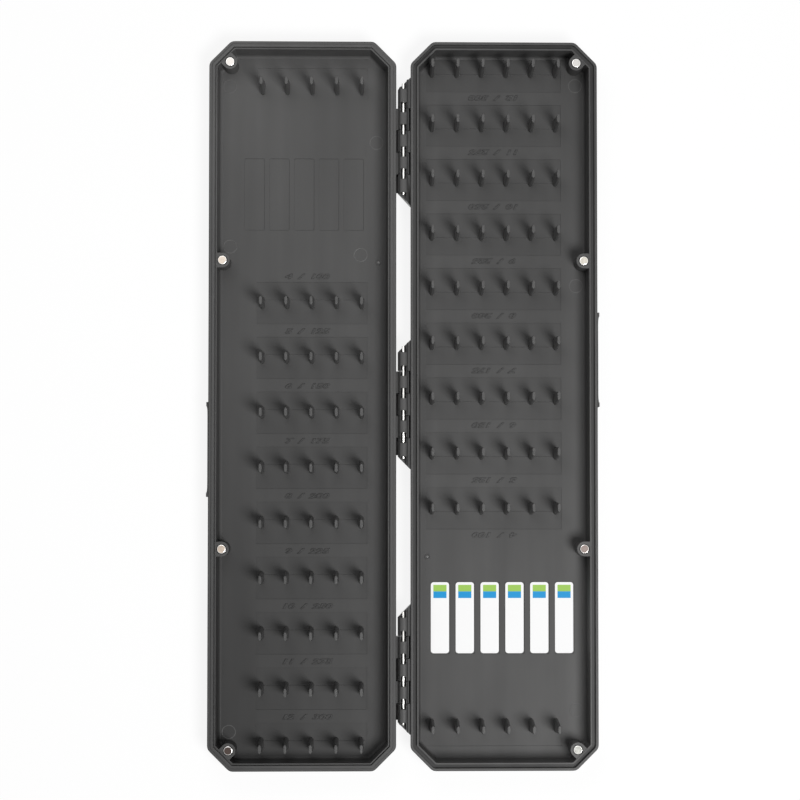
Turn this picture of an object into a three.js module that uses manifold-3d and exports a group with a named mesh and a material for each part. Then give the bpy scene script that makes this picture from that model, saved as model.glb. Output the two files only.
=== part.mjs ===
// Fishing rig box, lying open with both insides up. Millimetres, +Z up.
// The origin is on the table, under the middle of the hinge axis, which runs along Y at the parting plane.
// Two shallow moulded trays fold together on three pinned hinges and stay shut by small disc magnets.
// Ready-tied rigs are stretched from the fins of one end to the row of fins that suits their length.

import * as THREE from 'three';
import { mergeVertices } from 'three/addons/utils/BufferGeometryUtils.js';
import Module from 'manifold-3d';

const wasm = await Module();
wasm.setup();

// Trays
const trayLength = 328.3; // along the hinge
const trayWidth = 84.4; // across one tray
const trayHeight = 15.5; // underside to parting plane
const floorThickness = 2.2;
const wallThickness = 3.7;
const cornerCutWidth = 10; // leg of each 45 degree corner
const cornerRound = 3.5; // where a corner cut meets a wall, outside
const innerRound = 0.8; // the same, inside
const outerDraft = 0.4; // how far a wall leans in from rim to base, outside
const innerDraft = 0.3; // the same, inside
const baseRound = 1.6; // edge round the underside
const floorFillet = 1.5; // where a wall meets the floor
const rimBreak = 0.25; // small bevel on the outer edge of the rim
const rimRelief = 0.1; // rims stop this far under the parting plane

// Rim: a tongue on one tray drops into a rebate on the other
const lipWidth = 1.25;
const rebateWidth = 1.7;
const rebateDepth = 2;
const tongueHeight = 0.6; // above the parting plane
const tongueFit = 0.12; // clearance each side of the tongue
const tongueDraft = 0.1;
const grooveWidth = 0.35; // inside the tongue
const grooveDepth = 0.6;

// Hinges
const hingeReach = 3.2; // axis to the wall of each tray
const hingeShares = [-0.3625, 0, 0.3625]; // places of the three hinges, of the length
const barrelRadius = 2.1;
const knuckleLength = 10.05; // pitch of the three middle knuckles
const jointShares = [-1.5, -0.5, 0.5, 1.5]; // joints between knuckles, of the pitch
const knuckleGap = 0.3;
const lugLength = 58.3; // along the wall, before its ends slant back
const lugReach = 2.5; // how far a lug passes under the axis
const lugDrop = 1.5; // axis to the top of the lug
const lugDepth = 3.8; // axis to the underside of the lug's free edge
const gussetDepth = 7.5; // axis to the underside where the lug meets the wall
const wallBite = 1.2; // how far a lug, boss or grip is rooted in the wall
const sillEdge = 0.6; // axis to the edge of the sill that one tray has under the other's knuckles
const sillTop = 5.4; // axis to the top of the sill, out of the way of the lugs that turn above it
const sillOverlap = 0.6; // how far a sill runs on under the knuckles of its own tray
const pinRadius = 0.7;
const pinFit = 0.05;
const pinLength = 50.5;
const pinShift = 0.8; // its middle beyond the middle of the hinge
const windowWidth = 2.7; // openings over the pin
const windowLength = 4.6;
const windowDepth = 1.35; // axis to the window's floor
const endSlotLength = 2.9; // open seat of the pin's end, in from the lug's slanted end

// Fins
const finTop = 21; // table to tip
const finTipThickness = 1.45;
const finBaseThickness = 2.1;
const finTipLength = 3.9;
const finOuterReach = 0.5; // base beyond tip, on the side that the line pulls off
const finInnerReach = 1.45;
const anchorTipLength = 3.6;
const anchorOuterReach = 1.3;
const anchorInnerReach = 1.6;
const finCrown = 0.15; // bevel round a tip
const finEndShare = 0.4; // width of the flat on a fin's two ends, of its thickness
const finEndLength = 0.8; // from there to its full thickness
const columnCounts = { right: 6, left: 5 }; // those of one tray stand between the other's when the box shuts
const columnMargin = 13.95; // edge of a tray to the outer column of six, without the shift
const fieldShift = 4; // middle of the fins off the middle of a tray, towards the hinge
const rowPitch = 25;
const rowMargin = 7.5; // least room from the last row to the end of a tray
const anchorSetback = 17; // end of the tray to the outer face of the anchor fins
const firstGauge = 102.75; // outer face of the anchor fins to that of the first row

// Shallow panels round each row
const panelDepth = 0.3;
const panelMargin = 2.6; // beyond the outer columns
const panelOuter = 7.25; // beyond the outer face of a row
const panelLength = 19.1;

// Label recesses and stickers
const labelShift = 3.7; // off the fin columns, away from the hinge
const labelSetback = 67.75; // end wall to the middle of the labels
const labelRib = 2.1; // between two recesses
const recessLength = 33;
const recessDepth = 0.45;
const recessRound = 0.8;
const stickerSideGap = 0.45; // sticker to the side of its recess
const stickerEndGap = 0.4;
const stickerThickness = 0.3;
const stickerRound = 1.3;
const stickerGap = 0.05; // layer of glue

// Magnets and their bosses
const magnetRadius = 2;
const magnetThickness = 3;
const pocketFit = 0.25;
const magnetGap = 0.2; // parting plane to the magnet's face
const bossRadius = 3.35;
const bossDrop = 0.4; // parting plane to the top of the boss
const bossToWall = 2.4; // middle of the boss to the inner face of the wall
const sideBossShare = 0.3957; // distance between the side bosses, of the length

// Finger grips on the long outer walls
const gripCentre = 20.3; // off the middle of the box
const gripLength = 42.6;
const gripBottom = 3; // above the table
const gripTopDrop = 0.8; // under the parting plane
const gripProud = 0.9; // at its two ends
const gripHollow = 0.35; // what stands proud between them
const gripEnd = 1.8; // length of each raised end
const gripEase = 4.2; // length of the curve down from it

// How far a cutter passes a surface
const overrun = 1;

// Facets
const cornerSteps = 3;
const filletSteps = 3;
const barrelSides = 24;
const pinSides = 16;
const bossSides = 24;

// Worked out
const innerWallX = hingeReach + trayWidth - wallThickness;
const trayCentreX = hingeReach + trayWidth / 2;
const fieldCentre = trayCentreX - fieldShift;
const columnPitch = (trayWidth - 2 * columnMargin) / (columnCounts.right - 1);
const rowCount = 1 + Math.floor((trayLength - anchorSetback - firstGauge - rowMargin) / rowPitch);
const sideBossY = (trayLength * sideBossShare) / 2;
const anchorOuterY = -trayLength / 2 + anchorSetback;
const labelCentreY = -trayLength / 2 + labelSetback;
const recessWidth = columnPitch - labelRib;
const stickerWidth = recessWidth - 2 * stickerSideGap;
const stickerLength = recessLength - 2 * stickerEndGap;
const flatEndY = trayLength / 2 - wallThickness - innerDraft - floorFillet;

const plastic = () => new THREE.MeshStandardMaterial({ color: 0x4f4e4d, roughness: 0.55, metalness: 0 });
const steel = () => new THREE.MeshStandardMaterial({ color: 0xc9c8c4, roughness: 0.25, metalness: 1 });
const nickel = () => new THREE.MeshStandardMaterial({ color: 0xd9d6d2, roughness: 0.2, metalness: 1 });
const paper = () => new THREE.MeshStandardMaterial({ color: 0xf4f4f1, roughness: 0.6, metalness: 0 });

// A closed three.js geometry as a solid that can be cut and joined
function toSolid(geometry) {
  const bare = geometry.clone();
  bare.deleteAttribute('normal');
  bare.deleteAttribute('uv');
  const merged = mergeVertices(bare);
  return new wasm.Manifold(new wasm.Mesh({
    numProp: 3,
    vertProperties: new Float32Array(merged.attributes.position.array),
    triVerts: new Uint32Array(merged.index.array),
  }));
}

function toMesh(solid, name, material) {
  const { vertProperties, triVerts } = solid.getMesh();
  const geometry = new THREE.BufferGeometry();
  geometry.setAttribute('position', new THREE.BufferAttribute(vertProperties, 3));
  geometry.setIndex(new THREE.BufferAttribute(triVerts, 1));
  geometry.computeVertexNormals();
  const mesh = new THREE.Mesh(geometry, material);
  mesh.name = name;
  return mesh;
}

// Skin over rings of points, each counter-clockwise seen from above, with flat ends. All rings are convex.
function loft(rings) {
  const count = rings[0].length;
  const index = [];
  for (let ring = 0; ring < rings.length - 1; ring += 1) {
    for (let i = 0; i < count; i += 1) {
      const next = (i + 1) % count;
      const here = ring * count;
      const above = here + count;
      index.push(here + i, here + next, above + next, here + i, above + next, above + i);
    }
  }
  const last = (rings.length - 1) * count;
  for (let i = 1; i < count - 1; i += 1) {
    index.push(0, i + 1, i, last, last + i, last + i + 1);
  }
  const geometry = new THREE.BufferGeometry();
  geometry.setAttribute('position', new THREE.Float32BufferAttribute(rings.flat(2), 3));
  geometry.setIndex(index);
  return toSolid(geometry);
}

function box(low, high) {
  const size = high.map((value, axis) => value - low[axis]);
  const geometry = new THREE.BoxGeometry(...size);
  return toSolid(geometry.translate(...low.map((value, axis) => value + size[axis] / 2)));
}

// An upright prism over a flat shape
function prism(shape, low, high, curveSegments) {
  const depth = high - low;
  const geometry = new THREE.ExtrudeGeometry(shape, { depth, bevelEnabled: false, curveSegments });
  return toSolid(geometry.translate(0, 0, low));
}

function uprightCylinder(radius, low, high, sides) {
  const geometry = new THREE.CylinderGeometry(radius, radius, high - low, sides);
  return toSolid(geometry.rotateX(Math.PI / 2).translate(0, 0, (low + high) / 2));
}

// A round bar along the hinge axis
function hingeBar(radius, low, high, sides) {
  const geometry = new THREE.CylinderGeometry(radius, radius, high - low, sides);
  return toSolid(geometry.translate(0, (low + high) / 2, trayHeight));
}

function roundedRectangle(width, length, round) {
  const x = width / 2;
  const y = length / 2;
  const shape = new THREE.Shape();
  shape.absarc(x - round, y - round, round, 0, Math.PI / 2);
  shape.absarc(-x + round, y - round, round, Math.PI / 2, Math.PI);
  shape.absarc(-x + round, -y + round, round, Math.PI, Math.PI * 1.5);
  shape.absarc(x - round, -y + round, round, Math.PI * 1.5, Math.PI * 2);
  return shape;
}

// The tray's outline pulled in by an inset: an oblong with its corners cut at 45 degrees and eased
function outline(inset, height) {
  const halfWide = trayWidth / 2 - inset;
  const halfLong = trayLength / 2 - inset;
  const cut = cornerCutWidth - inset * (2 - Math.SQRT2);
  const round = Math.max(cornerRound - inset, innerRound);
  const tangent = round * Math.tan(Math.PI / 8);
  const points = [];
  for (let corner = 0; corner < 8; corner += 1) {
    const heading = ((corner + 1) * Math.PI) / 4;
    const outward = ((corner - 0.5) * Math.PI) / 4;
    const onLongSide = Math.abs(Math.cos(outward)) > Math.abs(Math.sin(outward));
    const x = Math.sign(Math.cos(outward)) * (onLongSide ? halfWide : halfWide - cut);
    const y = Math.sign(Math.sin(outward)) * (onLongSide ? halfLong - cut : halfLong);
    const centreX = x - Math.cos(heading) * tangent - Math.sin(heading) * round;
    const centreY = y - Math.sin(heading) * tangent + Math.cos(heading) * round;
    for (let step = 0; step <= cornerSteps; step += 1) {
      const angle = heading - Math.PI / 2 + (step / cornerSteps) * (Math.PI / 4);
      const acrossX = centreX + Math.cos(angle) * round;
      const alongY = centreY + Math.sin(angle) * round;
      points.push([trayCentreX + acrossX, alongY, height]);
    }
  }
  return points;
}

// A quarter round as [inset, height] pairs, from one angle to the next
function quarter(insetCentre, heightCentre, radius, from, to) {
  const pairs = [];
  for (let step = 0; step <= filletSteps; step += 1) {
    const angle = from + (step / filletSteps) * (to - from);
    pairs.push([insetCentre + Math.cos(angle) * radius, heightCentre + Math.sin(angle) * radius]);
  }
  return pairs;
}

// Section of the rim, from its outer edge inwards
function rimSection(side) {
  const rimTop = trayHeight - rimRelief;
  const edge = [[0, rimTop - rimBreak], [rimBreak, rimTop]];
  if (side === 'right') {
    const rebateFloor = trayHeight - rebateDepth;
    return edge.concat([
      [lipWidth, rimTop],
      [lipWidth, rebateFloor],
      [lipWidth + rebateWidth, rebateFloor],
      [lipWidth + rebateWidth, rimTop],
    ]);
  }
  const tongueOuter = lipWidth + tongueFit;
  const tongueInner = lipWidth + rebateWidth - tongueFit;
  const tongueTop = trayHeight + tongueHeight;
  return edge.concat([
    [tongueOuter, rimTop],
    [tongueOuter + tongueDraft, tongueTop],
    [tongueInner - tongueDraft, tongueTop],
    [tongueInner, rimTop - grooveDepth],
    [tongueInner + grooveWidth, rimTop - grooveDepth],
    [tongueInner + grooveWidth, rimTop],
  ]);
}

// Floor and walls of a tray in one sweep round its outline
function trayShell(side) {
  const foot = outerDraft + baseRound;
  const innerFoot = wallThickness + innerDraft + floorFillet;
  const section = [
    ...quarter(foot, baseRound, baseRound, -Math.PI / 2, -Math.PI),
    ...rimSection(side),
    [wallThickness, trayHeight - rimRelief],
    ...quarter(innerFoot, floorThickness + floorFillet, floorFillet, -Math.PI, -Math.PI / 2),
  ];
  return loft(section.map(([inset, height]) => outline(inset, height)));
}

// Distance from the hinge axis of each column of fins
function columnPlaces(count) {
  return Array.from({ length: count }, (_, i) => fieldCentre + (i - (count - 1) / 2) * columnPitch);
}

// Outer face of each row, from the shortest rig to the longest
function rowPlaces() {
  return Array.from({ length: rowCount }, (_, i) => anchorOuterY + firstGauge + i * rowPitch);
}

// One fin. Its ends narrow like a boat's, its base reaches further out than its tip, and the tip is bevelled.
function fin(x, tipLow, tipHigh, lowReach, highReach) {
  const ring = (halfThick, low, high, z) => {
    const flat = halfThick * finEndShare;
    return [
      [x - flat, low, z], [x + flat, low, z],
      [x + halfThick, low + finEndLength, z], [x + halfThick, high - finEndLength, z],
      [x + flat, high, z], [x - flat, high, z],
      [x - halfThick, high - finEndLength, z], [x - halfThick, low + finEndLength, z],
    ];
  };
  const root = floorThickness / 2;
  const thick = finBaseThickness / 2;
  const thin = finTipThickness / 2;
  return loft([
    ring(thick, tipLow - lowReach, tipHigh + highReach, root),
    ring(thin, tipLow, tipHigh, finTop - finCrown),
    ring(thin - finCrown, tipLow + finCrown, tipHigh - finCrown, finTop),
  ]);
}

function finField(side) {
  let field = null;
  const plant = (one) => {
    field = field ? field.add(one) : one;
  };
  for (const x of columnPlaces(columnCounts[side])) {
    plant(fin(x, anchorOuterY, anchorOuterY + anchorTipLength, anchorOuterReach, anchorInnerReach));
    for (const y of rowPlaces()) {
      plant(fin(x, y - finTipLength, y, finInnerReach, finOuterReach));
    }
  }
  return field;
}

// A sunk panel round each row. None runs into the end wall's fillet.
function rowPanels(halfWide) {
  let all = null;
  for (const y of rowPlaces()) {
    const one = box(
      [fieldCentre - halfWide, y + panelOuter - panelLength, floorThickness - panelDepth],
      [fieldCentre + halfWide, Math.min(y + panelOuter, flatEndY), floorThickness + overrun],
    );
    all = all ? all.add(one) : one;
  }
  return all;
}

// The panel round the anchor fins is deepest at its outer end and runs out on the floor
function anchorPanel(halfWide) {
  const outer = anchorOuterY - panelOuter;
  const section = new THREE.Shape();
  section.moveTo(outer, floorThickness - panelDepth);
  section.lineTo(outer + panelLength, floorThickness);
  section.lineTo(outer + panelLength, floorThickness + overrun);
  section.lineTo(outer, floorThickness + overrun);
  const cut = new THREE.ExtrudeGeometry(section, { depth: 2 * halfWide, bevelEnabled: false });
  cut.rotateY(Math.PI / 2).rotateX(Math.PI / 2).translate(fieldCentre - halfWide, 0, 0);
  return toSolid(cut);
}

function panels(side) {
  const halfWide = ((columnCounts[side] - 1) * columnPitch) / 2 + panelMargin;
  return rowPanels(halfWide).add(anchorPanel(halfWide));
}

function labelRecesses(side) {
  let all = null;
  for (const x of columnPlaces(columnCounts[side])) {
    const shape = roundedRectangle(recessWidth, recessLength, recessRound);
    const one = prism(shape, floorThickness - recessDepth, floorThickness + overrun, filletSteps)
      .translate([x + labelShift, labelCentreY, 0]);
    all = all ? all.add(one) : one;
  }
  return all;
}

// Middle of each boss, and the heading of the wall that it grows from
function bossPlaces() {
  const cornerInset = (wallThickness + bossToWall) / Math.SQRT2 + cornerCutWidth / 2;
  const cornerX = hingeReach + trayWidth - cornerInset;
  const cornerY = trayLength / 2 - cornerInset;
  const sideX = innerWallX - bossToWall;
  return [
    { x: cornerX, y: cornerY, heading: Math.PI / 4 },
    { x: sideX, y: sideBossY, heading: 0 },
    { x: sideX, y: -sideBossY, heading: 0 },
    { x: cornerX, y: -cornerY, heading: -Math.PI / 4 },
  ];
}

// A boss is a half round towards the floor, with straight flanks that run into the wall
function boss({ x, y, heading }) {
  const reach = bossToWall + wallThickness - lipWidth - rebateWidth;
  const shape = new THREE.Shape();
  shape.absarc(0, 0, bossRadius, Math.PI / 2, Math.PI * 1.5);
  shape.lineTo(reach, -bossRadius);
  shape.lineTo(reach, bossRadius);
  return prism(shape, floorThickness / 2, trayHeight - bossDrop, bossSides / 2)
    .rotate([0, 0, THREE.MathUtils.radToDeg(heading)])
    .translate([x, y, 0]);
}

function magnetPocket({ x, y }) {
  const bottom = trayHeight - magnetGap - magnetThickness - pocketFit;
  const bore = uprightCylinder(magnetRadius + pocketFit, bottom, trayHeight + overrun, bossSides);
  return bore.translate([x, y, 0]);
}

function magnet({ x, y }) {
  const top = trayHeight - magnetGap;
  return uprightCylinder(magnetRadius, top - magnetThickness, top, bossSides).translate([x, y, 0]);
}

// A raised pad on the outer wall, hollowed for a finger between its two raised ends
function grip() {
  const wall = hingeReach + trayWidth;
  const half = gripLength / 2;
  const shape = new THREE.Shape();
  shape.moveTo(wall - wallBite, -half);
  shape.lineTo(wall + gripProud, -half);
  shape.lineTo(wall + gripProud, -half + gripEnd);
  shape.quadraticCurveTo(wall + gripHollow, -half + gripEnd, wall + gripHollow, -half + gripEnd + gripEase);
  shape.lineTo(wall + gripHollow, half - gripEnd - gripEase);
  shape.quadraticCurveTo(wall + gripHollow, half - gripEnd, wall + gripProud, half - gripEnd);
  shape.lineTo(wall + gripProud, half);
  shape.lineTo(wall - wallBite, half);
  return prism(shape, gripBottom, trayHeight - gripTopDrop, filletSteps).translate([0, gripCentre, 0]);
}

// Joints between knuckles, from the middle of a hinge
function knuckleJoints() {
  return jointShares.map((share) => share * knuckleLength);
}

// Knuckle of one tray between two places along the axis: a barrel and the lug that carries it to the wall
function knuckle(low, high) {
  const inWall = hingeReach + wallBite;
  const slope = (gussetDepth - lugDepth) / (hingeReach + lugReach);
  const lug = new THREE.Shape();
  lug.moveTo(-lugReach, -lugDrop);
  lug.lineTo(-lugReach, -lugDepth);
  lug.lineTo(inWall, -lugDepth - slope * (inWall + lugReach));
  lug.lineTo(inWall, -lugDrop);
  const along = new THREE.ExtrudeGeometry(lug, { depth: high - low, bevelEnabled: false });
  along.rotateX(Math.PI / 2).translate(0, high, trayHeight);
  return toSolid(along).add(hingeBar(barrelRadius, low, high, barrelSides));
}

// The slanted ends of the outer lugs, as a prism over the hinge in plan
function lugPlan() {
  const wall = hingeReach + wallBite;
  const half = lugLength / 2;
  const back = half - (hingeReach + lugReach);
  const plan = new THREE.Shape();
  plan.moveTo(-lugReach, -back);
  plan.lineTo(hingeReach, -half);
  plan.lineTo(wall, -half);
  plan.lineTo(wall, half);
  plan.lineTo(hingeReach, half);
  plan.lineTo(-lugReach, back);
  return prism(plan, 0, trayHeight + barrelRadius + overrun);
}

// Windows over the pin at each joint, and an open seat at each end
function pinWindows() {
  const halfWide = windowWidth / 2;
  const low = trayHeight - windowDepth;
  const high = trayHeight + barrelRadius + overrun;
  const slotFrom = lugLength / 2 - (hingeReach + lugReach);
  const slot = (from, to) => box([-halfWide, from, low], [halfWide, to, high]);
  let all = slot(slotFrom, slotFrom + endSlotLength + overrun);
  all = all.add(slot(-slotFrom - endSlotLength - overrun, -slotFrom));
  for (const joint of knuckleJoints()) {
    all = all.add(slot(joint - windowLength / 2, joint + windowLength / 2));
  }
  return all;
}

// A sill closes the view down between the other tray's knuckle and the wall, and joins the lugs beside it
function sill(low, high) {
  return box(
    [sillEdge, low - sillOverlap, trayHeight - gussetDepth],
    [hingeReach + wallBite, high + sillOverlap, trayHeight - sillTop],
  );
}

// One tray's share of a hinge. The right tray has the two outer knuckles and the middle one.
function hingeShare(side) {
  const joints = knuckleJoints();
  const half = lugLength / 2;
  const inner = [[joints[0], joints[1]], [joints[2], joints[3]]];
  const middle = [joints[1], joints[2]];
  const lastOuter = [joints[3], half - 2 * hingeReach - sillOverlap];
  const spans = side === 'right' ? [[-half, joints[0]], middle, [joints[3], half]] : inner;
  const gap = knuckleGap / 2;
  let share = null;
  for (const [low, high] of spans) {
    const one = knuckle(low + gap, high - gap);
    share = share ? share.add(one) : one;
  }
  if (side === 'right') share = share.intersect(lugPlan());
  const sills = side === 'right' ? inner : [middle, lastOuter];
  for (const [low, high] of sills) share = share.add(sill(low, high));
  const bore = hingeBar(pinRadius + pinFit, -lugLength, lugLength, pinSides);
  return share.subtract(bore).subtract(pinWindows());
}

// A whole tray in the frame of the right half: hinge axis over x = 0, anchor fins at the -y end
function tray(side) {
  let body = trayShell(side);
  for (const place of bossPlaces()) body = body.add(boss(place));
  body = body.add(grip());
  for (const share of hingeShares) {
    body = body.add(hingeShare(side).translate([0, share * trayLength, 0]));
  }
  body = body.subtract(panels(side)).subtract(labelRecesses(side));
  for (const place of bossPlaces()) body = body.subtract(magnetPocket(place));
  return body.add(finField(side));
}

function hingePin() {
  return hingeBar(pinRadius, -pinLength / 2, pinLength / 2, pinSides);
}

function sticker(x) {
  const shape = roundedRectangle(stickerWidth, stickerLength, stickerRound);
  const low = floorThickness - recessDepth + stickerGap;
  return prism(shape, low, low + stickerThickness, filletSteps).translate([x + labelShift, labelCentreY, 0]);
}

// Four magnets for one tray, named in the order of its bosses
function magnets(side, placeNames) {
  return bossPlaces().map((place, i) => toMesh(magnet(place), `${side}_magnet_${placeNames[i]}`, nickel()));
}

// Right half, which carries the pins and the stickers
const rightHalf = new THREE.Group();
rightHalf.add(toMesh(tray('right'), 'right_tray', plastic()));
rightHalf.add(...magnets('right', ['top', 'upper', 'lower', 'bottom']));
['bottom', 'middle', 'top'].forEach((where, i) => {
  const pin = toMesh(hingePin(), `hinge_pin_${where}`, steel());
  pin.position.y = hingeShares[i] * trayLength + pinShift;
  rightHalf.add(pin);
});
columnPlaces(columnCounts.right).forEach((x, i) => {
  rightHalf.add(toMesh(sticker(x), `label_${i + 1}`, paper()));
});

// Left half, drawn like the right one and turned end for end about the middle of the box
const leftHalf = new THREE.Group();
leftHalf.rotation.z = Math.PI;
leftHalf.add(toMesh(tray('left'), 'left_tray', plastic()));
leftHalf.add(...magnets('left', ['bottom', 'lower', 'upper', 'top']));

const rigBox = new THREE.Group();
rigBox.add(rightHalf, leftHalf);

export default rigBox;
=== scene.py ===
# %% [markdown]
# # A fishing rig box, lying open
# The box is two shallow plastic trays, hinged along one long side. Rigs, which are ready-tied lengths of
# line with a hook, lie stretched between a row of fins at one end and the row that suits their length.
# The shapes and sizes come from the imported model. This lesson gives each piece its finish and its fine
# detail: eased edges, moulded numbers, the marks that the mould leaves, labels, wire pins and nickel
# magnets.

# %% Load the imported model
import math

import bmesh
import bpy
from mathutils import Matrix, Vector
from mathutils.geometry import intersect_point_line


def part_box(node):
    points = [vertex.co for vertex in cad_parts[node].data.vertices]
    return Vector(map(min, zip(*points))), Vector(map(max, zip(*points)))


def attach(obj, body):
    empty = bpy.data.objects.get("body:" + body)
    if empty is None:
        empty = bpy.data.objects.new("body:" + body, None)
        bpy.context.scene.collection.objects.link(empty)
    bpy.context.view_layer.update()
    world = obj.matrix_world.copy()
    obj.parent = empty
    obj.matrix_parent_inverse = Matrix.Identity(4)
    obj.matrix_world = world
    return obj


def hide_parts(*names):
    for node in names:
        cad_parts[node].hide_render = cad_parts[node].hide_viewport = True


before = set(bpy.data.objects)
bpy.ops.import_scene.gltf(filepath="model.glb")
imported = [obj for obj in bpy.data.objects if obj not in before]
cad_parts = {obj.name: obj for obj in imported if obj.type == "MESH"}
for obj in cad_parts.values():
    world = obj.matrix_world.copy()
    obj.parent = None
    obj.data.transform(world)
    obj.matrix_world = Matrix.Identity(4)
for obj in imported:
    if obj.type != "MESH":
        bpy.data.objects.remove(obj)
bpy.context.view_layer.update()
MM = 0.001

# %% [markdown]
# ## Camera
# The photograph looks almost straight down on the open box from about a metre, through a long lens. The
# place and the turn of the camera were worked out from the corners of the rims and of the floors, which lie
# at two heights. A small shift keeps the box where it stands in the picture.

# %% Place the camera
SENSOR = 36.0
PICTURE = 800
FOCAL_PIXELS = 2193.1
AXIS_PIXEL = (417.12, 419.02)
CAMERA_PLACE = Vector((-16.916, -42.305, 1000.2)) * MM
CAMERA_TURN = (0.03623, -0.023458, 0.00083808)
NEAREST_SEEN = 0.01

camera_data = bpy.data.cameras.new("photo_camera")
camera_data.sensor_width = SENSOR
camera_data.lens = FOCAL_PIXELS / PICTURE * SENSOR
camera_data.shift_x = (PICTURE / 2 - AXIS_PIXEL[0]) / PICTURE
camera_data.shift_y = (AXIS_PIXEL[1] - PICTURE / 2) / PICTURE
camera_data.clip_start = NEAREST_SEEN
camera_data.dof.use_dof = False
camera = bpy.data.objects.new("photo_camera", camera_data)
bpy.context.scene.collection.objects.link(camera)
turn_x, turn_y, turn_z = (Matrix.Rotation(a, 4, axis) for a, axis in zip(CAMERA_TURN, "XYZ"))
camera.matrix_world = Matrix.Translation(CAMERA_PLACE) @ turn_z @ turn_x @ turn_y
bpy.context.scene.camera = camera
bpy.context.scene.view_settings.view_transform = "Standard"
print("lens:", round(camera_data.lens, 2), "shift:", camera_data.shift_x, camera_data.shift_y)

# %% [markdown]
# ## Lamps
# The fins throw soft shadows up and to the left, so the main lamp hangs high, to the right and on the near
# side. Its size sets how soft they are. A second wide lamp above the far end fills the shadows, the far ones
# more than the near ones. A sun would light all rows alike, so both are round area lamps.

# %% Hang the lamps
LIGHT_FROM = Vector((0.28, -0.3, 0.91)).normalized()
LIGHT_DISTANCE = 1.2
LIGHT_SIZE = 0.44
KEY_LEVEL = 0.8
FILL_FROM = Vector((-0.17, 0.5, 0.85)).normalized()
FILL_DISTANCE = 0.62
FILL_SIZE = 0.44
FILL_LEVEL = 0.3


def soft_lamp(name, direction, distance, size, level):
    """A round lamp turned to the box. Level 1 makes a white sheet that faces it look white."""
    data = bpy.data.lights.new(name, "AREA")
    data.shape = "DISK"
    data.size = size
    data.energy = level * math.pi ** 2 * distance ** 2
    lamp = bpy.data.objects.new(name, data)
    lamp.location = direction * distance
    lamp.rotation_euler = direction.to_track_quat("Z", "Y").to_euler()
    bpy.context.scene.collection.objects.link(lamp)
    return data.energy


main_power = soft_lamp("main_light", LIGHT_FROM, LIGHT_DISTANCE, LIGHT_SIZE, KEY_LEVEL)
fill_power = soft_lamp("fill_light", FILL_FROM, FILL_DISTANCE, FILL_SIZE, FILL_LEVEL)
print("lamp power:", round(main_power, 2), round(fill_power, 2))

# %% [markdown]
# ## World
# The picture has a white ground, but a world bright enough to show white would wash out the shadows. So the
# world has two strengths, and Light Path tells them apart: it is white to the camera, in gloss and through
# glass, and dim to every ray that lights the box.

# %% Light the world
WORLD_LEVEL = 0.06


def node_of(tree, kind, **inputs):
    """A shader node with the given input values."""
    node = tree.nodes.new(kind)
    for name, value in inputs.items():
        node.inputs[name.replace("_", " ")].default_value = value
    return node


def seen_ray(tree):
    """1 for rays that show a surface as it looks: from the camera, in gloss and through glass."""
    path = tree.nodes.new("ShaderNodeLightPath")
    total = path.outputs["Is Camera Ray"]
    for name in ("Is Glossy Ray", "Is Transmission Ray"):
        add = tree.nodes.new("ShaderNodeMath")
        add.operation = "MAXIMUM"
        tree.links.new(total, add.inputs[0])
        tree.links.new(path.outputs[name], add.inputs[1])
        total = add.outputs[0]
    return total


world = bpy.data.worlds.new("studio")
bpy.context.scene.world = world
world.use_nodes = True
tree = world.node_tree
tree.nodes.clear()
dim = node_of(tree, "ShaderNodeBackground", Color=(1, 1, 1, 1), Strength=WORLD_LEVEL)
white = node_of(tree, "ShaderNodeBackground", Color=(1, 1, 1, 1), Strength=1.0)
mix = tree.nodes.new("ShaderNodeMixShader")
out = tree.nodes.new("ShaderNodeOutputWorld")
tree.links.new(seen_ray(tree), mix.inputs[0])
tree.links.new(dim.outputs[0], mix.inputs[1])
tree.links.new(white.outputs[0], mix.inputs[2])
tree.links.new(mix.outputs[0], out.inputs["Surface"])
print("world:", WORLD_LEVEL, "on the box, 1 in view")

# %% [markdown]
# ## Floor
# The box lies on a white table. A plain white surface would show the lamps' uneven light, so the floor mostly
# glows where it is seen, and a little shading on top of the glow keeps the faint shadow of the box. The glow
# is dimmed by what the lamps add to it, so that the two together come out white. To all other rays the floor
# is a matt pale surface, which throws light back up as a table does.

# %% Lay the floor
FLOOR_SIZE = 4.0
FLOOR_SHADE = 0.13
LIT_LEVEL = 0.95
TABLE_SHADE = 0.8

bm = bmesh.new()
bmesh.ops.create_grid(bm, x_segments=1, y_segments=1, size=FLOOR_SIZE / 2)
floor_mesh = bpy.data.meshes.new("floor")
bm.to_mesh(floor_mesh)
bm.free()
floor = bpy.data.objects.new("floor", floor_mesh)
bpy.context.scene.collection.objects.link(floor)
floor_paint = bpy.data.materials.new("white_floor")
floor_paint.use_nodes = True
tree = floor_paint.node_tree
tree.nodes.clear()
matt = node_of(tree, "ShaderNodeBsdfDiffuse", Color=(TABLE_SHADE, TABLE_SHADE, TABLE_SHADE, 1))
shaded = node_of(tree, "ShaderNodeBsdfDiffuse", Color=(FLOOR_SHADE, FLOOR_SHADE, FLOOR_SHADE, 1))
glow = node_of(tree, "ShaderNodeEmission", Color=(1, 1, 1, 1), Strength=1 - FLOOR_SHADE * LIT_LEVEL)
lit = tree.nodes.new("ShaderNodeAddShader")
mix = tree.nodes.new("ShaderNodeMixShader")
out = tree.nodes.new("ShaderNodeOutputMaterial")
tree.links.new(shaded.outputs[0], lit.inputs[0])
tree.links.new(glow.outputs[0], lit.inputs[1])
tree.links.new(seen_ray(tree), mix.inputs[0])
tree.links.new(matt.outputs[0], mix.inputs[1])
tree.links.new(lit.outputs[0], mix.inputs[2])
tree.links.new(mix.outputs[0], out.inputs["Surface"])
floor_mesh.materials.append(floor_paint)
print("floor:", FLOOR_SIZE, "m")

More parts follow.
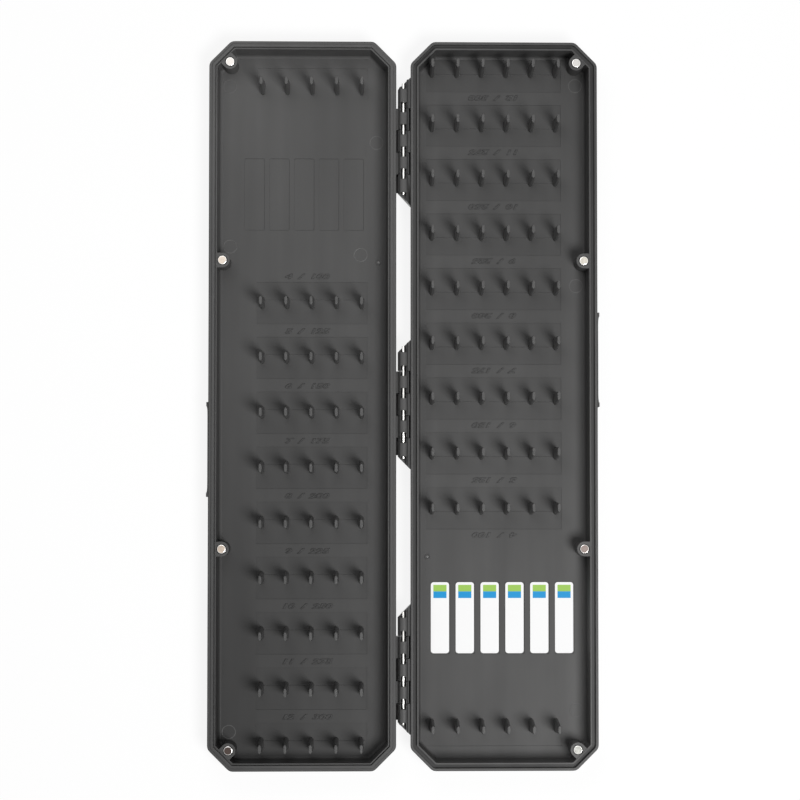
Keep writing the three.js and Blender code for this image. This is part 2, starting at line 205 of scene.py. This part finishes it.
# %% [markdown]
# ## Patterns in a surface
# No plastic, metal or paper is one flat colour. Every finish below is built from the same few parts: noise
# in the piece's own place, which turns with the piece when the box folds and needs no picture, a ramp that
# makes a colour of it, a range that makes a number of it, and a bump that makes fine relief of it.

# %% Make the parts of a finish
def plain_material(name):
    """A material with its nodes and its surface shader, ready for detail."""
    made = bpy.data.materials.new(name)
    made.use_nodes = True
    return made, made.node_tree, made.node_tree.nodes["Principled BSDF"]


def object_noise(tree, scale, stretch=(1, 1, 1), detail=3.0):
    """Noise in features per metre, drawn out along an axis by a small stretch."""
    where = tree.nodes.new("ShaderNodeTexCoord")
    mapping = tree.nodes.new("ShaderNodeMapping")
    mapping.inputs["Scale"].default_value = stretch
    noise = node_of(tree, "ShaderNodeTexNoise", Scale=scale, Detail=detail)
    tree.links.new(where.outputs["Object"], mapping.inputs["Vector"])
    tree.links.new(mapping.outputs[0], noise.inputs["Vector"])
    return noise.outputs["Fac"]


def ramp(tree, value, low, high, start=0.3, end=0.7):
    """A colour between two, as a value goes from start to end."""
    made = tree.nodes.new("ShaderNodeValToRGB")
    made.color_ramp.elements[0].position = start
    made.color_ramp.elements[0].color = (*low, 1)
    made.color_ramp.elements[1].position = end
    made.color_ramp.elements[1].color = (*high, 1)
    tree.links.new(value, made.inputs[0])
    return made.outputs[0]


def spread(tree, value, low, high):
    """A number from low to high, as a value goes from 0 to 1."""
    made = tree.nodes.new("ShaderNodeMapRange")
    made.inputs["To Min"].default_value = low
    made.inputs["To Max"].default_value = high
    tree.links.new(value, made.inputs["Value"])
    return made.outputs[0]


def bump(tree, value, depth, strength, under=None):
    """A bump of a real depth in metres, over another if there is one."""
    made = node_of(tree, "ShaderNodeBump", Strength=strength, Distance=depth)
    tree.links.new(value, made.inputs["Height"])
    if under:
        tree.links.new(under, made.inputs["Normal"])
    return made.outputs[0]


print("materials so far:", len(bpy.data.materials))

# %% [markdown]
# ## Streaks and painted light on the plastic
# Both trays are one dark grey plastic. Where it flowed through the mould it shows long faint streaks.
# Painted light makes the colour go slowly lighter or darker from one end of a tray to the other. Two
# factors near 1 stand for these. Multiplied, they lighten or darken any of the plastic's colours. All
# finishes share the streaks, and the painted highlights take less of the painted light.

# %% Make the streaks and the painted light drift
# How strongly painted light lightens and darkens the trays from end to end, and about which point.
PAINTED_LIGHT_DRIFT = 25.0
LESS_PAINTED_LIGHT_DRIFT = 10.0
PAINTED_LIGHT_MIDDLE = (0.024, 0.052)
STREAKS = {"scale": 110, "stretch": (1, 0.04, 1), "detail": 2}
STREAK_CONTRAST = 0.2


def maths(tree, operation, first, second):
    """A difference or product of two values, each a number or another node's output."""
    made = tree.nodes.new("ShaderNodeMath")
    made.operation = operation
    for socket, value in zip(made.inputs, (first, second)):
        if isinstance(value, (int, float)):
            socket.default_value = value
        else:
            tree.links.new(value, socket)
    return made.outputs[0]


def painted_light_drift(tree, drift):
    """Painted light, about 1: more at the far end of the left tray and at the near end of the right one."""
    where = tree.nodes.new("ShaderNodeTexCoord")
    parts = tree.nodes.new("ShaderNodeSeparateXYZ")
    tree.links.new(where.outputs["Object"], parts.inputs[0])
    along = [maths(tree, "SUBTRACT", parts.outputs[axis], middle) for axis, middle in zip("XY", PAINTED_LIGHT_MIDDLE)]
    return maths(tree, "SUBTRACT", 1.0, maths(tree, "MULTIPLY", maths(tree, "MULTIPLY", *along), drift))


def flow_streaks(tree):
    """About 1, in soft streaks along the tray."""
    return spread(tree, object_noise(tree, **STREAKS), 1 - STREAK_CONTRAST, 1 + STREAK_CONTRAST)


def scaled_colour(tree, colour, factor):
    """A colour made lighter or darker by a factor."""
    made = tree.nodes.new("ShaderNodeVectorMath")
    made.operation = "SCALE"
    tree.links.new(colour, made.inputs[0])
    tree.links.new(factor, made.inputs["Scale"])
    return made.outputs[0]


print("streaks:", STREAKS["scale"], "a metre")

# %% [markdown]
# ## Moulded plastic
# Up close the plastic has a fine matt grain, a bump about a tenth of a millimetre across, over a shallow
# ripple. From further off it is faintly cloudy and unevenly dull.
# The sunk panels round the fins look darker than the rest. The groove of the rim is painted darker, as
# painted shade. The rims and the tops of the fins are painted lighter, as a painted highlight. The sides of
# the fins come from deep slots that are polished so that the tray lets go of the mould, and they mirror the
# floor beside them at a low angle. All are one plastic, so one recipe makes them, and each finish sets its
# own shade, dullness, drift of painted light and gloss.

# %% Mix the plastic
PLASTIC = (0.068, 0.0675, 0.067)
GLOSS_SHARE = 0.16
CLOUDS = {"scale": 34, "stretch": (1, 0.35, 1), "detail": 4}
CLOUD_CONTRAST = 0.08
SMEARS = {"scale": 120, "stretch": (1, 0.5, 1), "detail": 5}
SMEAR_CONTRAST = 0.06
RIPPLE = {"scale": 160, "detail": 2}
RIPPLE_DEPTH = 0.04 * MM
RIPPLE_STRENGTH = 0.35
GRAIN = {"scale": 7000, "detail": 2}
GRAIN_DEPTH = 0.01 * MM
GRAIN_STRENGTH = 0.5


def moulded_plastic(name, shade, roughness, drift=PAINTED_LIGHT_DRIFT, gloss=GLOSS_SHARE):
    """The tray's plastic in one finish. Shade 1 is its plain colour."""
    made, tree, surface = plain_material(name)
    clouds = object_noise(tree, **CLOUDS)
    low = [c * shade * (1 - CLOUD_CONTRAST) for c in PLASTIC]
    high = [c * shade * (1 + CLOUD_CONTRAST) for c in PLASTIC]
    # The flow streaks are the plastic's own. The drift from end to end is painted light.
    streaks_and_painted_light = maths(tree, "MULTIPLY", painted_light_drift(tree, drift), flow_streaks(tree))
    colour = scaled_colour(tree, ramp(tree, clouds, low, high), streaks_and_painted_light)
    tree.links.new(colour, surface.inputs["Base Color"])
    smears = object_noise(tree, **SMEARS)
    rough = spread(tree, smears, roughness - SMEAR_CONTRAST, roughness + SMEAR_CONTRAST)
    tree.links.new(rough, surface.inputs["Roughness"])
    ripple = bump(tree, object_noise(tree, **RIPPLE), RIPPLE_DEPTH, RIPPLE_STRENGTH)
    grain = bump(tree, object_noise(tree, **GRAIN), GRAIN_DEPTH, GRAIN_STRENGTH, ripple)
    tree.links.new(grain, surface.inputs["Normal"])
    surface.inputs["Specular IOR Level"].default_value = gloss
    return made


tray_plastic = moulded_plastic("tray_plastic", shade=1.0, roughness=0.52)
panel_plastic = moulded_plastic("panel_plastic", shade=0.9, roughness=0.5)
# Painted shade: the floor of the rim's groove is painted darker.
groove_painted_shade = moulded_plastic("groove_painted_shade", shade=0.8, roughness=0.6)
# Painted highlight: the rims, the tops of the fins, the rings and the collar are painted lighter.
rim_painted_highlight = moulded_plastic("rim_painted_highlight", shade=1.18, roughness=0.48, drift=LESS_PAINTED_LIGHT_DRIFT)
painted_highlight_plastic = moulded_plastic("painted_highlight_plastic", shade=1.3, roughness=0.45, drift=LESS_PAINTED_LIGHT_DRIFT)
polished_plastic = moulded_plastic("polished_plastic", shade=0.9, roughness=0.32, gloss=0.4)
print("plastic:", PLASTIC)

# %% [markdown]
# ## Trays as whole skins
# A packed tray is a soup of loose triangles, which can't be bevelled. A copy of it is welded into one skin,
# and triangles that lie flat beside each other become one face, so the only edges left are real ones. A
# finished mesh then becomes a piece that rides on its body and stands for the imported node.

# %% Weld a copy and make it a piece
WELD_GAP = 0.002 * MM
FLAT_ANGLE = math.radians(0.4)


def welded_copy(node_name):
    """The node's triangles joined into one skin, with flat areas made whole."""
    bm = bmesh.new()
    bm.from_mesh(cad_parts[node_name].data)
    bmesh.ops.remove_doubles(bm, verts=bm.verts, dist=WELD_GAP)
    bmesh.ops.dissolve_limit(bm, angle_limit=FLAT_ANGLE, verts=bm.verts, edges=bm.edges)
    return bm


def add_piece(bm, name, body, materials, replaces=()):
    """The finished mesh as an object that rides on its body."""
    mesh = bpy.data.meshes.new(name)
    bm.to_mesh(mesh)
    bm.free()
    for material in materials:
        mesh.materials.append(material)
    piece = bpy.data.objects.new(name, mesh)
    bpy.context.scene.collection.objects.link(piece)
    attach(piece, body)
    if replaces:
        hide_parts(*replaces)
    return piece


print("weld gap:", WELD_GAP / MM, "mm")

# %% [markdown]
# ## Edges to ease
# A moulded edge is never sharp, and the light runs along it as a fine line. So every outer edge sharper than
# a fillet's facets gets a small rounded bevel. One width for all would fold over where a face beside the edge
# is too narrow for it, so each edge has a weight, its share of the full width. The shallow panels and
# recesses cut into the floor stay crisp.

# %% Weigh the edges
EDGE_ROUND = 0.12 * MM
EDGE_ANGLE = math.radians(40)
EDGE_ROOM = 2.2 * EDGE_ROUND
LEAST_SHARE = 0.25
FLOOR_LEVEL = 2.2 * MM
LEVEL_SLACK = 0.01 * MM


def gap_between(edge, other):
    """The least distance from an end of one edge to the other edge."""
    least = math.inf
    for one, two in ((edge, other), (other, edge)):
        start, end = (vert.co for vert in two.verts)
        for vert in one.verts:
            near, share = intersect_point_line(vert.co, start, end)
            near = start if share < 0 else end if share > 1 else near
            least = min(least, (vert.co - near).length)
    return least


def room_beside(edge):
    """How far the faces beside an edge reach from it before another edge cuts a bevel short."""
    least = math.inf
    for face in edge.link_faces:
        for other in face.edges:
            if other == edge:
                continue
            joined = set(edge.verts) & set(other.verts)
            least = min(least, other.calc_length() if joined else gap_between(edge, other))
    return least


def weigh_edges(bm):
    """Gives each sharp outer edge its share of the bevel, and marks as sharp those that get none."""
    weight = bm.edges.layers.float.new("bevel_weight_edge")
    for edge in bm.edges:
        sharp = edge.is_manifold and edge.calc_face_angle(0) > EDGE_ANGLE
        cut = all(abs(vert.co.z - FLOOR_LEVEL) < LEVEL_SLACK for vert in edge.verts)
        eased = sharp and edge.is_convex and not cut
        share = min(1.0, room_beside(edge) / EDGE_ROOM) if eased else 0.0
        edge[weight] = share if share > LEAST_SHARE else 0.0
        edge.smooth = not sharp or edge[weight] > 0
    return sum(edge[weight] > 0 for edge in bm.edges)


print("bevel:", EDGE_ROUND / MM, "mm, where the faces beside it reach", round(EDGE_ROOM / MM, 3), "mm")

# %% [markdown]
# ## Trays
# The panels, the groove in the rim and the fins lie at or reach heights of their own, and these pick their
# faces out for the other finishes. That needs no painting, and holds if a fin moves.
# The sides of the fins are flat, so each is shaded flat. Everything else is shaded smooth, and the Weighted
# Normal modifier lets the large faces keep their look and the small bevels turn between them.

# %% Ease the trays and give them their finishes
EASING_STEPS = 2
LARGE_FACES_LEAD = 100
PANEL_DEPTH = 0.3 * MM
GROOVE_LEVEL = 13.5 * MM
RIM_LEVEL = 15.5 * MM
FIN_CLEAR = 1 * MM
FACES_UP = 0.99
FIN_TOP_UP = 0.8
# The groove's finish is painted shade, and the rims' and the fin tops' finishes are painted highlights.
TRAY_FINISHES = [tray_plastic, panel_plastic, groove_painted_shade, rim_painted_highlight, painted_highlight_plastic, polished_plastic]
PLAIN, PANEL, SHADED_GROOVE, RIM, FIN_TOP, FIN_SIDE = range(len(TRAY_FINISHES))


def finish_of(face):
    """Which of the tray's finishes a face takes, from its height and the way it faces."""
    height = face.calc_center_median().z
    if max(vert.co.z for vert in face.verts) > RIM_LEVEL + FIN_CLEAR:
        return FIN_TOP if face.normal.z > FIN_TOP_UP else FIN_SIDE
    if face.normal.z < FACES_UP:
        return PLAIN
    if abs(height - (FLOOR_LEVEL - PANEL_DEPTH)) < LEVEL_SLACK:
        return PANEL
    # The groove takes the painted shade.
    if abs(height - GROOVE_LEVEL) < LEVEL_SLACK:
        return SHADED_GROOVE
    return RIM if height > GROOVE_LEVEL else PLAIN


for side in ("right", "left"):
    bm = welded_copy(f"{side}_tray")
    eased_count = weigh_edges(bm)
    for face in bm.faces:
        face.material_index = finish_of(face)
        face.smooth = face.material_index != FIN_SIDE
    tray = add_piece(bm, f"{side}_tray_moulded", f"{side}_half", TRAY_FINISHES, [f"{side}_tray"])
    eased = tray.modifiers.new("eased_edges", "BEVEL")
    eased.width = EDGE_ROUND
    eased.segments = EASING_STEPS
    eased.limit_method = "WEIGHT"
    eased.use_clamp_overlap = False
    evened = tray.modifiers.new("evened_shading", "WEIGHTED_NORMAL")
    evened.weight = LARGE_FACES_LEAD
    evened.keep_sharp = True
    print(tray.name, len(tray.data.polygons), "faces,", eased_count, "edges eased")

# %% [markdown]
# ## Hinge pins
# Each pin is a length of bright drawn wire. It shows in the windows between the knuckles and at the open
# seats at its ends. A curve with a round section would draw it too, but with sharp ends, so it is a round bar
# with broken ends, and its finish has fine scratches along it from drawing.

# %% Draw the wire
PIN_SIDES = 32
PIN_BREAK = 0.15 * MM
PIN_BREAK_STEPS = 2
WIRE = (0.83, 0.82, 0.79)
WIRE_ROUGHNESS = 0.24
SCRATCHES = {"scale": 9000, "stretch": (1, 0.02, 1), "detail": 4}
SCRATCH_SHADE = 0.88
SCRATCH_ROUGHNESS = (0.7, 1.4)
SCRATCH_DEPTH = 0.005 * MM
SCRATCH_STRENGTH = 0.3


def drawn_metal(name, colour, roughness):
    """Bright metal with fine scratches along Y."""
    made, tree, surface = plain_material(name)
    surface.inputs["Metallic"].default_value = 1.0
    lines = object_noise(tree, **SCRATCHES)
    dark = [c * SCRATCH_SHADE for c in colour]
    tree.links.new(ramp(tree, lines, dark, colour), surface.inputs["Base Color"])
    rough = spread(tree, lines, *(roughness * share for share in SCRATCH_ROUGHNESS))
    tree.links.new(rough, surface.inputs["Roughness"])
    tree.links.new(bump(tree, lines, SCRATCH_DEPTH, SCRATCH_STRENGTH), surface.inputs["Normal"])
    return made


def turned_bar(radius, length, sides, edge, steps):
    """A round bar along Z about its middle, with its end edges rounded."""
    bm = bmesh.new()
    bmesh.ops.create_cone(bm, cap_ends=True, segments=sides, radius1=radius, radius2=radius, depth=length)
    rims = [e for e in bm.edges if abs(e.verts[0].co.z - e.verts[1].co.z) < edge / 10]
    bmesh.ops.bevel(bm, geom=rims, offset=edge, offset_type="OFFSET", affect="EDGES", segments=steps,
                    profile=0.5, material=-1)
    for face in bm.faces:
        face.smooth = len(face.verts) == 4
    return bm


def box_middle(node_name):
    """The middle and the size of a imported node's box."""
    low, high = (Vector(corner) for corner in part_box(node_name))
    return (low + high) / 2, high - low


wire = drawn_metal("drawn_wire", WIRE, WIRE_ROUGHNESS)
for where in ("bottom", "middle", "top"):
    middle, size = box_middle(f"hinge_pin_{where}")
    bm = turned_bar(size.x / 2, size.y, PIN_SIDES, PIN_BREAK, PIN_BREAK_STEPS)
    lay = Matrix.Translation(middle) @ Matrix.Rotation(math.pi / 2, 4, "X")
    bmesh.ops.transform(bm, matrix=lay, verts=bm.verts)
    add_piece(bm, f"wire_pin_{where}", "right_half", [wire], [f"hinge_pin_{where}"])
print("pin:", round(size.x / MM, 2), "x", round(size.y / MM, 2), "mm")

# %% [markdown]
# ## Magnets
# The magnets are small discs with a bright nickel plate and a rounded edge, pressed into their bosses. Each
# face has its own duller, brownish colour, darker towards the near end, while the rims stay bright. So a disc
# takes two finishes, one for its flat face and one for the rest.

# %% Press the discs
DISC_SIDES = 48
DISC_EDGE = 0.28 * MM
DISC_EDGE_STEPS = 3
BRIGHT_NICKEL = (0.9, 0.89, 0.87)
BRIGHT_ROUGHNESS = 0.2
FACE_ROUGHNESS = 0.4
STAINS = {"scale": 900, "detail": 4}
STAIN_SHADE = 0.82
STAIN_ROUGHNESS = (0.7, 1.5)
DENTS = {"scale": 1500, "detail": 3}
DENT_DEPTH = 0.01 * MM
DENT_STRENGTH = 0.25
FACES = {"left": {"top": (0.44, 0.42, 0.4), "upper": (0.42, 0.37, 0.32), "lower": (0.32, 0.27, 0.225),
                  "bottom": (0.045, 0.034, 0.03)},
         "right": {"top": (0.41, 0.4, 0.385), "upper": (0.37, 0.35, 0.31), "lower": (0.12, 0.098, 0.09),
                   "bottom": (0.155, 0.155, 0.145)}}


def nickel_plate(name, colour, roughness):
    """Plated metal with soft stains and shallow dents."""
    made, tree, surface = plain_material(name)
    surface.inputs["Metallic"].default_value = 1.0
    stains = object_noise(tree, **STAINS)
    dark = [c * STAIN_SHADE for c in colour]
    tree.links.new(ramp(tree, stains, dark, colour), surface.inputs["Base Color"])
    rough = spread(tree, stains, *(roughness * share for share in STAIN_ROUGHNESS))
    tree.links.new(rough, surface.inputs["Roughness"])
    dents = bump(tree, object_noise(tree, **DENTS), DENT_DEPTH, DENT_STRENGTH)
    tree.links.new(dents, surface.inputs["Normal"])
    return made


bright_nickel = nickel_plate("bright_nickel", BRIGHT_NICKEL, BRIGHT_ROUGHNESS)
for side, faces in FACES.items():
    for where, colour in faces.items():
        name = f"{side}_magnet_{where}"
        plate = nickel_plate(f"{side}_{where}_nickel", colour, FACE_ROUGHNESS)
        middle, size = box_middle(name)
        bm = turned_bar(size.x / 2, size.z, DISC_SIDES, DISC_EDGE, DISC_EDGE_STEPS)
        bmesh.ops.transform(bm, matrix=Matrix.Translation(middle), verts=bm.verts)
        for face in bm.faces:
            face.material_index = 1 if len(face.verts) == DISC_SIDES and face.normal.z > FACES_UP else 0
        add_piece(bm, f"{side}_disc_{where}", f"{side}_half", [bright_nickel, plate], [name])
print("disc:", round(size.x / MM, 2), "x", round(size.z / MM, 2), "mm")

# %% [markdown]
# ## Labels
# The six labels are white stickers to write on, with a small coloured square at the head of each, in plain
# bands of green and blue. A pattern in one material could colour the square, but cuts give it crisp sides:
# two lines along the sticker and three across it part the bands from the white, and the faces between them
# take the inks.

# %% Cut the stickers
INK_SQUARE = 6.0 * MM
INK_MARGIN = 1.2 * MM
PAPER_GLOSS = 0.15
FIBRES = {"scale": 5000, "detail": 4}
FIBRE_SHADE = 0.97
FIBRE_CONTRAST = 0.05
FIBRE_DEPTH = 0.008 * MM
FIBRE_STRENGTH = 0.3
LABELS = 6


def printed_paper(name, colour, roughness):
    """Coated paper with a faint trace of its fibres."""
    made, tree, surface = plain_material(name)
    fibre = object_noise(tree, **FIBRES)
    dark = [c * FIBRE_SHADE for c in colour]
    rough = spread(tree, fibre, roughness - FIBRE_CONTRAST, roughness + FIBRE_CONTRAST)
    tree.links.new(ramp(tree, fibre, dark, colour), surface.inputs["Base Color"])
    tree.links.new(rough, surface.inputs["Roughness"])
    tree.links.new(bump(tree, fibre, FIBRE_DEPTH, FIBRE_STRENGTH), surface.inputs["Normal"])
    surface.inputs["Specular IOR Level"].default_value = PAPER_GLOSS
    return made


inks = [printed_paper("label_white", colour=(0.95, 0.95, 0.95), roughness=0.5),
        printed_paper("label_green", colour=(0.34, 0.58, 0.1), roughness=0.4),
        printed_paper("label_blue", colour=(0.005, 0.3, 0.66), roughness=0.4)]
GREEN, BLUE = 1, 2
for number in range(1, LABELS + 1):
    bm = welded_copy(f"label_{number}")
    middle, size = box_middle(f"label_{number}")
    head = middle.y + size.y / 2 - INK_MARGIN
    sides = (middle.x - INK_SQUARE / 2, middle.x + INK_SQUARE / 2)
    ends = (head, head - INK_SQUARE / 2, head - INK_SQUARE)
    cuts = [(Vector((x, 0, 0)), Vector((1, 0, 0))) for x in sides]
    cuts += [(Vector((0, y, 0)), Vector((0, 1, 0))) for y in ends]
    for place, normal in cuts:
        whole = bm.verts[:] + bm.edges[:] + bm.faces[:]
        bmesh.ops.bisect_plane(bm, geom=whole, plane_co=place, plane_no=normal)
    for face in bm.faces:
        spot = face.calc_center_median()
        across = abs(spot.x - middle.x) < INK_SQUARE / 2
        down = (head - spot.y) / INK_SQUARE
        if across and 0 < down < 1 and face.normal.z > FACES_UP:
            face.material_index = GREEN if down < 0.5 else BLUE
    add_piece(bm, f"sticker_{number}", "right_half", inks, [f"label_{number}"])
print("sticker:", round(size.x / MM, 2), "x", round(size.y / MM, 2), "mm")

# %% [markdown]
# ## Moulded numbers
# A pair of raised numbers stands beside each row: the length of its rigs in inches and in millimetres. They
# are sloping figures, four tenths of a millimetre proud. A bump could fake them from above, but they have to
# stand up in a low light and from the side, so they are real text. Text is made a mesh before it is put in
# place, and the numbers of one tray are joined into one piece.

# %% Raise the numbers
NUMBER_HEIGHT = 3.1 * MM
NUMBER_WIDEN = 1.9
NUMBER_PROUD = 0.4 * MM
NUMBER_EDGE = 0.1 * MM
NUMBER_SWELL = 0.03 * MM
NUMBER_SLOPE = 0.28
NUMBER_CURVE_STEPS = 3
FIRST_ROW = 44.4 * MM
ROW_PITCH = 25 * MM
ROWS = 9
NUMBER_FROM_ROW = 14.4 * MM
FIRST_INCHES = 4
FIRST_LENGTH = 100
LENGTH_STEP = 25
NUMBER_PLACES = (("right", math.pi, 42.1 * MM), ("left", 0.0, 43.9 * MM))


def number_mesh(words):
    """A mesh of raised figures about the origin."""
    curve = bpy.data.curves.new("number", "FONT")
    curve.body = words
    curve.size = NUMBER_HEIGHT
    curve.shear = NUMBER_SLOPE
    curve.offset = NUMBER_SWELL
    curve.extrude = NUMBER_PROUD - NUMBER_EDGE
    curve.bevel_depth = NUMBER_EDGE
    curve.bevel_resolution = 1
    curve.resolution_u = NUMBER_CURVE_STEPS
    curve.align_x = "CENTER"
    curve.align_y = "CENTER"
    text = bpy.data.objects.new("number", curve)
    bpy.context.scene.collection.objects.link(text)
    mesh = bpy.data.meshes.new_from_object(text.evaluated_get(bpy.context.evaluated_depsgraph_get()))
    bpy.data.objects.remove(text)
    bpy.data.curves.remove(curve)
    return mesh


# Painted shade: the figures are painted a little darker than the tray, for the dark look of their strokes.
number_painted_shade = moulded_plastic("number_painted_shade", shade=0.8, roughness=0.36)
for side, turn, centre in NUMBER_PLACES:
    bm = bmesh.new()
    for row in range(ROWS):
        figures = number_mesh(f"{FIRST_INCHES + row}  /  {FIRST_LENGTH + LENGTH_STEP * row}")
        own = bmesh.new()
        own.from_mesh(figures)
        place = Vector((-centre, FIRST_ROW - ROW_PITCH * row + NUMBER_FROM_ROW, FLOOR_LEVEL))
        put = (Matrix.Rotation(turn, 4, "Z") @ Matrix.Translation(place)
               @ Matrix.Diagonal((NUMBER_WIDEN, 1, 1, 1)))
        bmesh.ops.transform(own, matrix=put, verts=own.verts)
        own.to_mesh(figures)
        own.free()
        bm.from_mesh(figures)
        bpy.data.meshes.remove(figures)
    add_piece(bm, f"{side}_numbers", f"{side}_half", [number_painted_shade])
print("numbers:", ROWS, "pairs a side")

# %% [markdown]
# ## Shapes for the marks of the mould
# A moulded tray keeps the traces of its tool: faint rings where pins pushed it out, and a thin ridge across
# each row of fins where two parts of the tool meet. All are too small for the plain model. A ring is spun
# from its small section, and a ridge is a four-sided bar pressed flat.

# %% Make a ring and a ridge
RING_SUNK = 0.05 * MM
RING_STEPS = 40
RIDGE_WIDTH = 0.4 * MM
RIDGE_HEIGHT = 0.12 * MM
RIDGE_SIDES = 4


def low_ring(bm, x, y, radius, width, height):
    """A thin ring on the floor, spun from its small section."""
    section = [bm.verts.new((x + radius + dx, y, FLOOR_LEVEL + dz))
               for dx, dz in ((-width / 2, -RING_SUNK), (0, height), (width / 2, -RING_SUNK))]
    edges = [bm.edges.new((section[i], section[i + 1])) for i in range(2)]
    bmesh.ops.spin(bm, geom=section + edges, cent=(x, y, 0), axis=(0, 0, 1), angle=math.tau,
                   steps=RING_STEPS, use_merge=True)


def low_ridge(bm, left, right, y):
    """A thin straight ridge along X, in the panel's floor."""
    made = bmesh.ops.create_cone(bm, cap_ends=True, segments=RIDGE_SIDES, radius1=RIDGE_WIDTH / 2,
                                 radius2=RIDGE_WIDTH / 2, depth=right - left)
    flat = Matrix.Diagonal((1, 1, RIDGE_HEIGHT / (RIDGE_WIDTH / 2), 1))
    put = (Matrix.Translation(Vector(((left + right) / 2, y, FLOOR_LEVEL - PANEL_DEPTH))) @ flat
           @ Matrix.Rotation(math.pi / 2, 4, "Y"))
    bmesh.ops.transform(bm, matrix=put, verts=made["verts"])


print("ridge:", RIDGE_WIDTH / MM, "x", RIDGE_HEIGHT / MM, "mm")

# %% [markdown]
# ## Marks of the mould
# The plastic came in at one point of each tray. There it leaves a small nub with a collar round it. The nub
# is a flattened ball, half sunk in the floor, pale and rather shiny where it was torn off, with a painted
# highlight on it. The rings and the collar are painted a little lighter than the floor, as a painted
# highlight, and the ridges keep the tray's own finish.

# %% Press the marks of the mould
RING_RADIUS = 3.0 * MM
RING_WIDTH = 0.9 * MM
RING_HEIGHT = 0.05 * MM
NUB_RADIUS = 0.55 * MM
NUB_HEIGHT = 0.4 * MM
NUB_SIDES = 24
COLLAR_RADIUS = 1.1 * MM
COLLAR_WIDTH = 0.7 * MM
COLLAR_HEIGHT = 0.25 * MM
COLUMN_PITCH = 11.3 * MM
FIELD_CENTRE = 41.4 * MM
RIDGE_OVERHANG = 1.6 * MM
ROW_RIDGE = 3.8 * MM
ANCHOR_RIDGE = 1.15 * MM
ANCHOR_ROW = 147.15 * MM
RINGS = {"left": [(-79.1, 145.9), (-78.8, 72.5), (-12.1, 120.2), (-19.3, 68.8), (-78.8, -147.8)],
         "right": [(78.9, 146.8), (79.1, 54.8), (78.9, -138.3)]}
NUBS = {"left": (-11.2, 65.3), "right": (11.1, -68.7)}

# Pale torn plastic, with a painted highlight, for the nub.
cut_and_highlight_plastic = moulded_plastic("cut_and_highlight_plastic", shade=3.0, roughness=0.32)
MARK_FINISHES = [tray_plastic, painted_highlight_plastic, cut_and_highlight_plastic]
MARK_HIGHLIGHT, MARK_CUT_AND_HIGHLIGHT = 1, 2
for side, sign, columns in (("right", 1, 6), ("left", -1, 5)):
    bm = bmesh.new()
    for x, y in RINGS[side]:
        low_ring(bm, x * MM, y * MM, RING_RADIUS, RING_WIDTH, RING_HEIGHT)
    nub_x, nub_y = (value * MM for value in NUBS[side])
    low_ring(bm, nub_x, nub_y, COLLAR_RADIUS, COLLAR_WIDTH, COLLAR_HEIGHT)
    # The rings and the collar take the painted highlight.
    for face in bm.faces:
        face.material_index = MARK_HIGHLIGHT
    half = (columns - 1) / 2 * COLUMN_PITCH + RIDGE_OVERHANG
    middle_x = sign * FIELD_CENTRE
    low_ridge(bm, middle_x - half, middle_x + half, -sign * (ANCHOR_ROW - ANCHOR_RIDGE))
    for row in range(ROWS):
        outer = sign * (-FIRST_ROW + ROW_PITCH * row)
        low_ridge(bm, middle_x - half, middle_x + half, outer - sign * ROW_RIDGE)
    nub = bmesh.ops.create_uvsphere(bm, u_segments=NUB_SIDES, v_segments=NUB_SIDES // 2, radius=NUB_RADIUS)
    dome = (Matrix.Translation(Vector((nub_x, nub_y, FLOOR_LEVEL)))
            @ Matrix.Diagonal((1, 1, NUB_HEIGHT / NUB_RADIUS, 1)))
    bmesh.ops.transform(bm, matrix=dome, verts=nub["verts"])
    for face in {face for vert in nub["verts"] for face in vert.link_faces}:
        face.material_index = MARK_CUT_AND_HIGHLIGHT
    bmesh.ops.recalc_face_normals(bm, faces=bm.faces)
    add_piece(bm, f"{side}_mould_marks", f"{side}_half", MARK_FINISHES)
print("rings:", sum(len(r) for r in RINGS.values()))

# %% [markdown]
# ## Last step
# The scene is brought up to date.

# %% Bring the scene up to date
bpy.context.view_layer.update()
